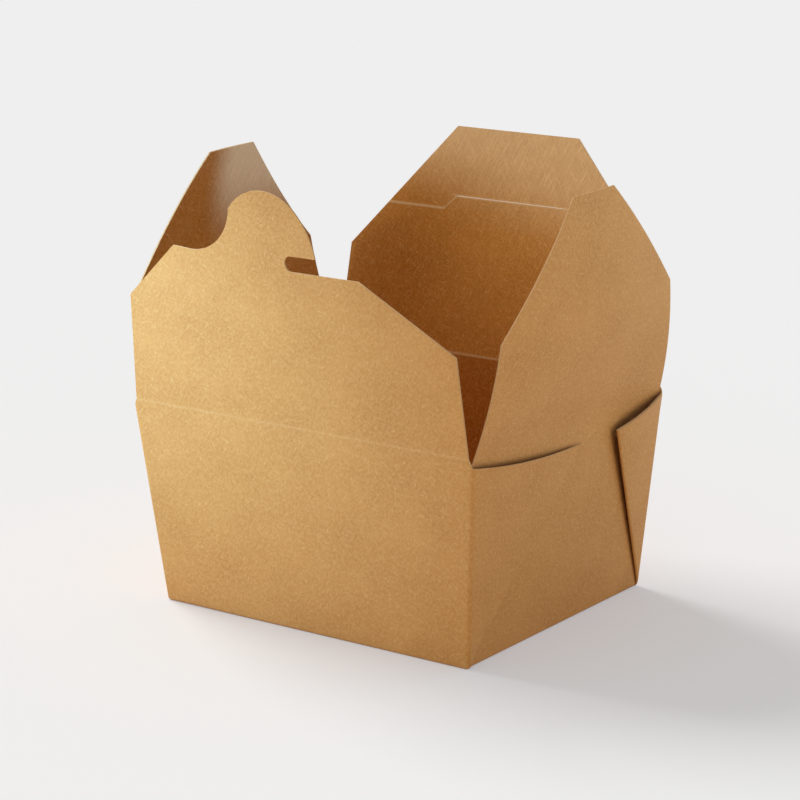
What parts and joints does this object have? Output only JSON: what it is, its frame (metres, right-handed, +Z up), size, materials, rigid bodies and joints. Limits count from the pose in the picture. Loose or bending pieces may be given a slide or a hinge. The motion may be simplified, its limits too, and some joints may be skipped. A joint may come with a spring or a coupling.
{
  "type": "takeaway box",
  "caption": "Open folded kraft-board takeaway box with outward-leaning walls, gusseted ends and hinged lid flaps; a lock tab on the front flap matches a slit in the back flap.",
  "frame": {"origin": "middle of the base's underside", "axes": "+Z up out of the box, X along the long walls, -Y towards the wall whose flap carries the lock tab"},
  "size_m": [0.1409, 0.1213, 0.1343],
  "materials": {
    "board": "matte kraft outside, thin glossy coating inside"
  },
  "bodies": {
    "tray": {"tray": "board"},
    "front_flap": {"front_flap": "board"},
    "back_flap": {"back_flap": "board"},
    "left_end_flap": {"left_end_flap": "board"},
    "right_end_flap": {"right_end_flap": "board"}
  },
  "joints": [
    {"name": "left_end_crease", "type": "hinge", "parent": "tray", "child": "left_end_flap", "pos_m": [-0.0616, 0, 0.0625], "axis": [0, 1, 0], "range_deg": [-80, 109]},
    {"name": "right_end_crease", "type": "hinge", "parent": "tray", "child": "right_end_flap", "pos_m": [0.0616, 0, 0.0625], "axis": [0, -1, 0], "range_deg": [-75, 106]},
    {"name": "back_crease", "type": "hinge", "parent": "tray", "child": "back_flap", "pos_m": [0, 0.04967, 0.0633], "axis": [1, 0, 0], "range_deg": [-88, 99]},
    {"name": "front_crease", "type": "hinge", "parent": "tray", "child": "front_flap", "pos_m": [0, -0.04974, 0.0641], "axis": [-1, 0, 0], "range_deg": [-95, 88]}
  ]
}
